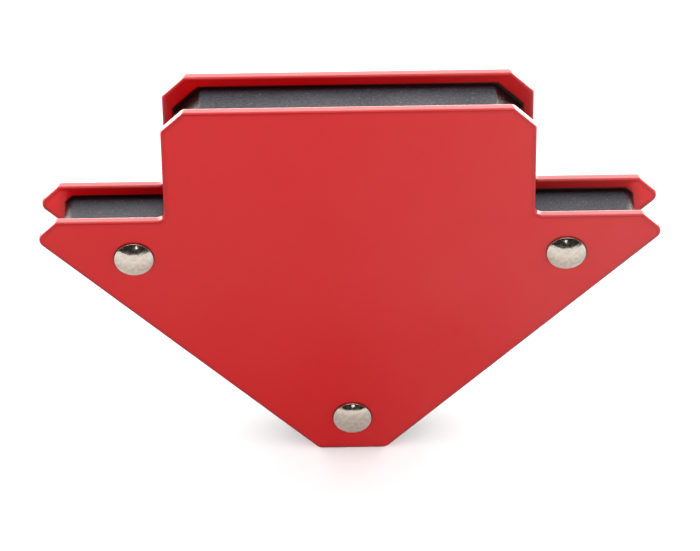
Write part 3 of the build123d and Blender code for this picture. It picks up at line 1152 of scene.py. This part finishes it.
paper = Finish("white_sweep", Roughness=0.9, Specular_IOR_Level=0.1, Emission_Strength=1.4)
grain = paper.group(grain_group, Grains_per_Metre=700.0, Detail=3.0)
is_glossy = place(paper.tree, "ShaderNodeLightPath").outputs["Is Glossy Ray"]
floor_spot = parts(paper.tree, paper.spot)
depth, aside = floor_spot[1], paper.math("ABSOLUTE", floor_spot[0])
in_gloss = ramp(paper.tree, paper.ranged(depth, 0.0, 1.0, gloss_front, gloss_back), gloss_stops)
white = paper.mix(paper.ranged(grain["Tone"], 0.0, 1.0, 0.3, 0.7), FLOOR_WHITE, PAPER_WHITE)
white = paper.mix(is_glossy, white, in_gloss)
far_aside, far_behind = paper.ranged(aside, 0.0, 1.0, 0.07, 0.10), paper.ranged(depth, 0.0, 1.0, 0.02, 0.07)
far_corner = paper.math("MULTIPLY", far_aside, far_behind)
lit = paper.mix(paper.math("MULTIPLY", far_corner, is_glossy), (0.0, 0.0, 0.0), (1.0, 1.0, 1.0))
surface = paper.bump(grain["Height"], 0.1, 0.02 * MM)
white_sweep = paper.feed(Base_Color=white, Normal=surface, Emission_Color=lit)

# %% [markdown]
# The plane itself is one face. It is staged, which tells the frame that it belongs to the set and not to
# the holder.

# %% Floor
floor_half_width, floor_front, floor_back = 0.60, -0.60, 0.36
floor_corners = [
    (-floor_half_width, floor_front, 0),
    (floor_half_width, floor_front, 0),
    (floor_half_width, floor_back, 0),
    (-floor_half_width, floor_back, 0),
]
floor_mesh = bpy.data.meshes.new("floor")
floor_mesh.from_pydata(floor_corners, [], [(0, 1, 2, 3)])
floor_mesh.materials.append(white_sweep)
floor = add_object("floor", floor_mesh)
floor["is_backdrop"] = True
print("floor, m:", 2 * floor_half_width, "by", floor_back - floor_front)

# %% [markdown]
# ## Studio light
# A world can answer each kind of ray differently, and this one does. What glossy rays see comes first: a
# bright low panel behind the holder that fades towards the top, a dark front with a faint ceiling, and a
# soft glow straight overhead. Colours are ramped over the elevation, from the horizon (0) to the top (1).

# %% World: what glossy rays see
glow = 12.0
HORIZON = (0.95, 0.9215, 0.874)


def even_grey(level):
    """A grey of this level."""
    return (level, level, level)


low_back = [(0.0, HORIZON), (0.90, even_grey(0.26)), (0.10, HORIZON)]
back_stops = low_back + [(0.43, even_grey(0.45)), (0.60, even_grey(0.30))]
low_front = [(0.0, even_grey(0.002)), (0.90, even_grey(0.28)), (0.32, even_grey(0.002))]
front_stops = low_front + [(0.60, even_grey(0.12))]

world = bpy.data.worlds.new("studio")
scene.world = world
world.use_nodes = True
world.cycles.sampling_method = "NONE"
sky = world.node_tree
sky.nodes.clear()
direction = parts(sky, place(sky, "ShaderNodeTexCoord").outputs["Generated"])
elevation = math_node(sky, "MULTIPLY", math_node(sky, "ARCSINE", direction[2]), 2 / pi)
to_back = ranged(sky, direction[1], 0.12, 1.0, 0.30, 0.68, smooth=True)
over_top = ranged(sky, direction[2], 0.12, 0.7, 0.75, 0.92)
back_level = math_node(sky, "MAXIMUM", to_back, over_top)
back_light = combine(sky, back_level, back_level, back_level)
back_sky = vector_math(sky, "MULTIPLY", ramp(sky, elevation, back_stops), back_light)
is_front = ranged(sky, direction[1], 0.0, 1.0, -0.25, -0.55, smooth=True)
seen_in_gloss = mix_colors(sky, is_front, back_sky, ramp(sky, elevation, front_stops))
bright_in_gloss = vector_math(sky, "MULTIPLY", seen_in_gloss, (glow, glow, glow))
print("glossy rays see panels of up to", round(glow * max(HORIZON), 1))

# %% [markdown]
# The diffuse light is white. It is strongest from behind and from both sides, and weaker straight overhead.
# The levels were found by trying, until the faces kept a deep, even red above soft shadows on the floor.

# %% World: the diffuse light
base_light, extra_behind, extra_beside, overhead_share = 1.06, 1.0, 2.6, 0.30
behind = math_node(sky, "MULTIPLY_ADD", direction[1], 0.5, 0.5, clamp=True)
beside = math_node(sky, "MULTIPLY", direction[0], direction[0])
level = math_node(sky, "MULTIPLY_ADD", behind, extra_behind, base_light)
level = math_node(sky, "MULTIPLY_ADD", beside, extra_beside, level)
overhead = ranged(sky, direction[2], 1.0, overhead_share, 0.5, 0.95)
even_level = math_node(sky, "MULTIPLY", level, overhead)
even_light = combine(sky, even_level, even_level, even_level)
print("diffuse light from", base_light, "in front to", base_light + extra_behind, "behind")

# %% [markdown]
# The Light Path node tells the rays apart. Glossy rays get the studio, diffuse rays the white light, and the
# camera plain white, which makes the pale background.

# %% World: one answer for each kind of ray
rays = place(sky, "ShaderNodeLightPath").outputs
gloss_or_even = mix_colors(sky, rays["Is Glossy Ray"], even_light, bright_in_gloss)
shown = mix_colors(sky, rays["Is Camera Ray"], gloss_or_even, (1.0, 1.0, 1.0))
background = place(sky, "ShaderNodeBackground", {"Color": shown, "Strength": 1.0})
place(sky, "ShaderNodeOutputWorld", {"Surface": background.outputs[0]})
print("world:", len(sky.nodes), "nodes")

# %% [markdown]
# The rivet domes also show one small highlight, as from a lamp in front. A disk light that is only seen in
# the gloss gives it, without adding to the diffuse light on anything.

# %% A small soft light that only shines in the gloss
spot_light = bpy.data.lights.new("gloss_spot", "AREA")
spot_light.shape = "DISK"
spot_light.size = 0.115
spot_light.energy = 0.06
gloss_spot = add_object("gloss_spot", spot_light)
gloss_spot.location = (0.06, -0.97, 0.26)
spot_aim = Vector((0, 0, 0.045))
gloss_spot.rotation_euler = (spot_aim - gloss_spot.location).to_track_quat("-Z", "Y").to_euler()
gloss_spot.visible_diffuse = False
gloss_spot.visible_camera = False
gloss_spot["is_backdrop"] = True
print("gloss spot at, m:", [round(c, 2) for c in gloss_spot.location])

# %% [markdown]
# ## Camera
# The camera stands in front and well above, and is tilted by less than a degree. It is far back and has a
# long lens, so the holder's sides hardly converge and its right angles can be judged by eye. Its place is
# worked out from two angles and a distance, which are easier to adjust than three coordinates.

# %% Camera
camera_azimuth = radians(-0.15)
camera_elevation = radians(38.50)
camera_roll = radians(-0.78)
camera_distance = 0.7527
camera_target = Vector((-0.00009, -0.00663, 0.04435))

level_reach = cos(camera_elevation)
back_x, back_y = sin(camera_azimuth) * level_reach, -cos(camera_azimuth) * level_reach
back = Vector((back_x, back_y, sin(camera_elevation)))
level_right = (-back).cross(Vector((0, 0, 1))).normalized()
level_up = level_right.cross(-back).normalized()
right = cos(camera_roll) * level_right + sin(camera_roll) * level_up
up = cos(camera_roll) * level_up - sin(camera_roll) * level_right

lens = bpy.data.cameras.new("camera")
lens.lens = 198.99
lens.sensor_width = 36.0
lens.clip_start, lens.clip_end = 0.01, 20.0
camera = add_object("camera", lens)
turn = Matrix((right, up, back)).transposed().to_4x4()
camera.matrix_world = Matrix.Translation(camera_target + back * camera_distance) @ turn
scene.camera = camera
scene.view_settings.view_transform = "Standard"
scene.view_settings.look = "None"
print("camera at, m:", [round(c, 3) for c in camera.location])

# %% [markdown]
# The last cell prints both boxes, so that the looks can be compared with the CAD model's size.

# %% Print both sizes
visual_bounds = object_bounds()
sizes = {
    "cad": [list(corner) for corner in cad_bounds],
    "visual": [list(corner) for corner in visual_bounds],
}
for name, corners in sizes.items():
    print(name, [[round(value / MM, 3) for value in corner] for corner in corners])
